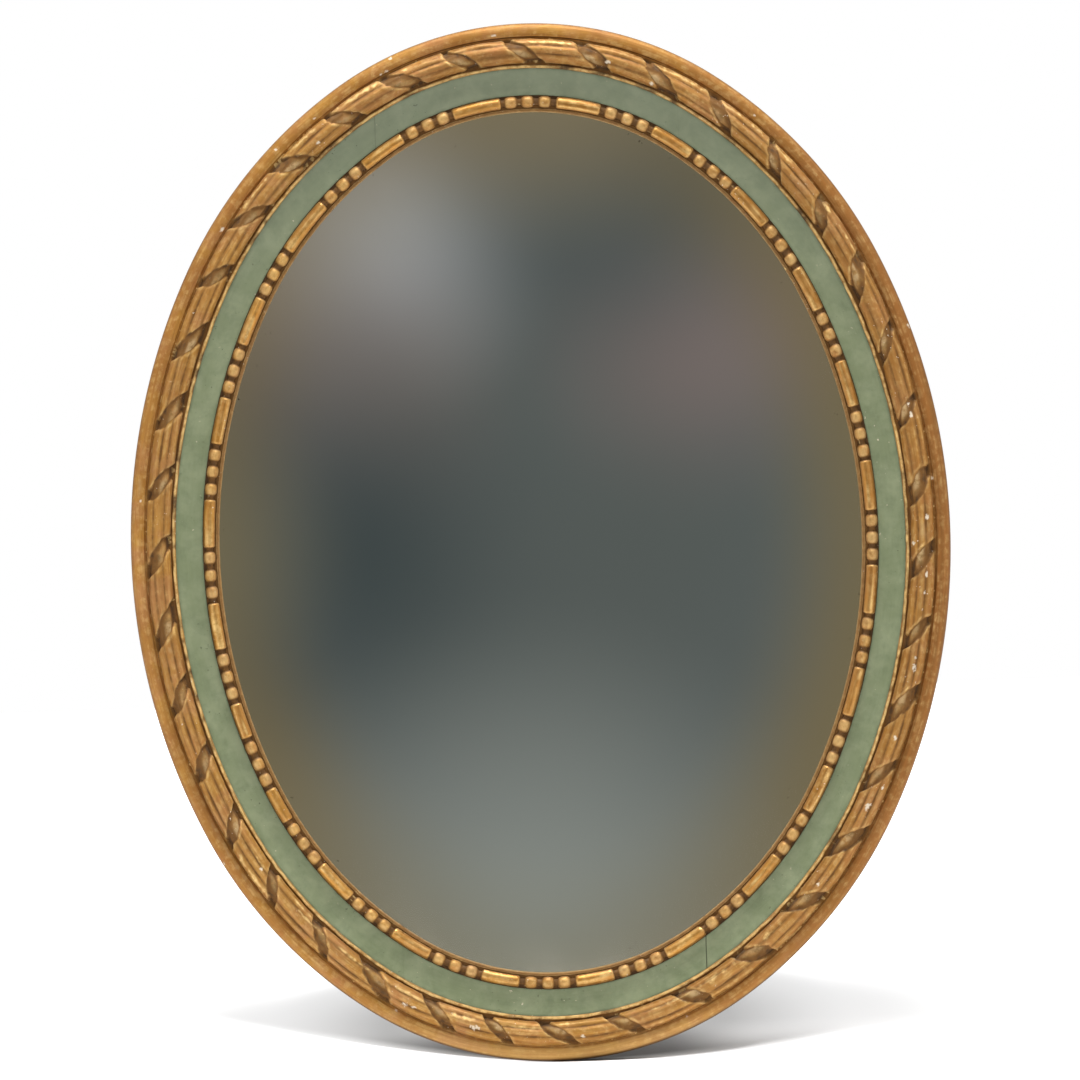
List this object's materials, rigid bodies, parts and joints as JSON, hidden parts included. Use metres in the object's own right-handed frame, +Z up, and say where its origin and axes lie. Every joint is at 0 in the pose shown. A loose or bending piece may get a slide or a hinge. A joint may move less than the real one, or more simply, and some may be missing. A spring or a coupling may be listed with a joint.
{
  "type": "oval wall mirror",
  "caption": "Upright oval wall mirror in a carved ribbon-and-reed frame with a painted frieze, a bead-and-reel sight edge, turn buttons and hanging rings behind.",
  "frame": {"origin": "middle of the oval, on the wall plane that the two rubber bumpers touch", "axes": "+Z up along the oval's long axis, -Y out of the glass towards the viewer, +X to the viewer's right"},
  "size_m": [0.6, 0.0397, 0.76],
  "materials": {
    "gilding": "aged gold leaf over carved timber",
    "painted_timber": "aged sage green distemper on the frieze, ochre wash on the sides",
    "mirror": "silvered plate glass",
    "back_board": "bare aged softwood",
    "bare_timber": "bare beech",
    "brass": "dull lacquered brass",
    "hanger_metal": "brassed steel strip and wire",
    "screw_steel": "dark bright-drawn steel",
    "bumper_rubber": "matt brown rubber"
  },
  "bodies": {
    "frame": {"frame_core_top": "painted_timber", "frame_core_bottom": "painted_timber", "frame_core_left": "painted_timber", "frame_core_right": "painted_timber", "joint_tongue_top_left": "bare_timber", "joint_tongue_top_right": "bare_timber", "joint_tongue_bottom_left": "bare_timber", "joint_tongue_bottom_right": "bare_timber", "reeded_moulding_top": "gilding", "reeded_moulding_bottom": "gilding", "reeded_moulding_left": "gilding", "reeded_moulding_right": "gilding", "beaded_moulding_top": "gilding", "beaded_moulding_bottom": "gilding", "beaded_moulding_left": "gilding", "beaded_moulding_right": "gilding", "mirror_plate": "mirror", "glazing_blocks": "bare_timber", "back_board_left": "back_board", "back_board_middle": "back_board", "back_board_right": "back_board", "turn_button_screws": "screw_steel", "strap_hanger_left": "hanger_metal", "strap_hanger_right": "hanger_metal", "hanger_screws": "screw_steel", "wall_bumper_left": "bumper_rubber", "wall_bumper_right": "bumper_rubber"},
    "turn_button_top": {"turn_button_top": "brass"},
    "turn_button_upper_right": {"turn_button_upper_right": "brass"},
    "turn_button_right": {"turn_button_right": "brass"},
    "turn_button_lower_right": {"turn_button_lower_right": "brass"},
    "turn_button_bottom": {"turn_button_bottom": "brass"},
    "turn_button_lower_left": {"turn_button_lower_left": "brass"},
    "turn_button_left": {"turn_button_left": "brass"},
    "turn_button_upper_left": {"turn_button_upper_left": "brass"},
    "hanging_ring_left": {"hanging_ring_left": "hanger_metal"},
    "hanging_ring_right": {"hanging_ring_right": "hanger_metal"}
  },
  "joints": [
    {"name": "turn_button_top_turn", "type": "hinge", "parent": "frame", "child": "turn_button_top", "pos_m": [0, -0.007, 0.335], "axis": [0, 1, 0], "continuous": true},
    {"name": "turn_button_upper_right_turn", "type": "hinge", "parent": "frame", "child": "turn_button_upper_right", "pos_m": [0.15559, -0.007, 0.26478], "axis": [0, 1, 0], "continuous": true},
    {"name": "turn_button_right_turn", "type": "hinge", "parent": "frame", "child": "turn_button_right", "pos_m": [0.255, -0.007, 0], "axis": [0, 1, 0], "continuous": true},
    {"name": "turn_button_lower_right_turn", "type": "hinge", "parent": "frame", "child": "turn_button_lower_right", "pos_m": [0.15559, -0.007, -0.26478], "axis": [0, 1, 0], "continuous": true},
    {"name": "turn_button_bottom_turn", "type": "hinge", "parent": "frame", "child": "turn_button_bottom", "pos_m": [0, -0.007, -0.335], "axis": [0, 1, 0], "continuous": true},
    {"name": "turn_button_lower_left_turn", "type": "hinge", "parent": "frame", "child": "turn_button_lower_left", "pos_m": [-0.15559, -0.007, -0.26478], "axis": [0, 1, 0], "continuous": true},
    {"name": "turn_button_left_turn", "type": "hinge", "parent": "frame", "child": "turn_button_left", "pos_m": [-0.255, -0.007, 0], "axis": [0, 1, 0], "continuous": true},
    {"name": "turn_button_upper_left_turn", "type": "hinge", "parent": "frame", "child": "turn_button_upper_left", "pos_m": [-0.15559, -0.007, 0.26478], "axis": [0, 1, 0], "continuous": true},
    {"name": "hanging_ring_left_swing", "type": "hinge", "parent": "frame", "child": "hanging_ring_left", "pos_m": [-0.24614, -0.0037, 0.1426], "axis": [1, 0, 0], "range_deg": [0, 180]},
    {"name": "hanging_ring_right_swing", "type": "hinge", "parent": "frame", "child": "hanging_ring_right", "pos_m": [0.24614, -0.0037, 0.1426], "axis": [1, 0, 0], "range_deg": [0, 180]}
  ]
}
